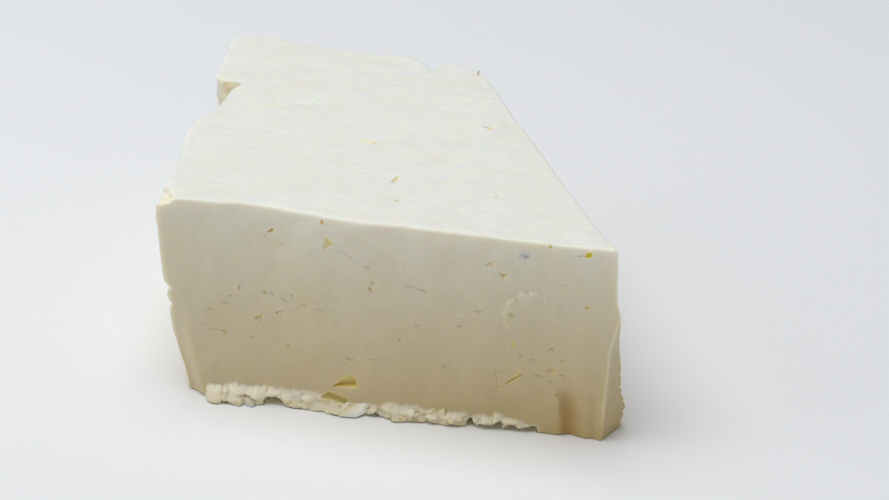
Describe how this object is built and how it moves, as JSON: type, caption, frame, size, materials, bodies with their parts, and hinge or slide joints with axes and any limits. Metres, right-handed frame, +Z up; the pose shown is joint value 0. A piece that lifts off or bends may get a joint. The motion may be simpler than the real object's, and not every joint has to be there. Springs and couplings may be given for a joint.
{
  "type": "frying cheese block",
  "caption": "Block of pressed white frying cheese with one corner cut away on the slant, small eyes in its cut faces and crumbly curds at its foot.",
  "frame": {"origin": "centre of the bounding box, on the flat base that the block lies on", "axes": "+X along the uncut front face to its right, +Y from the front face to the back, +Z up from the base"},
  "size_m": [0.1136, 0.102, 0.0478],
  "materials": {
    "pressed_curd": "moist satin, slightly translucent"
  },
  "bodies": {
    "root": {"cheese_block": "pressed_curd"}
  },
  "joints": []
}
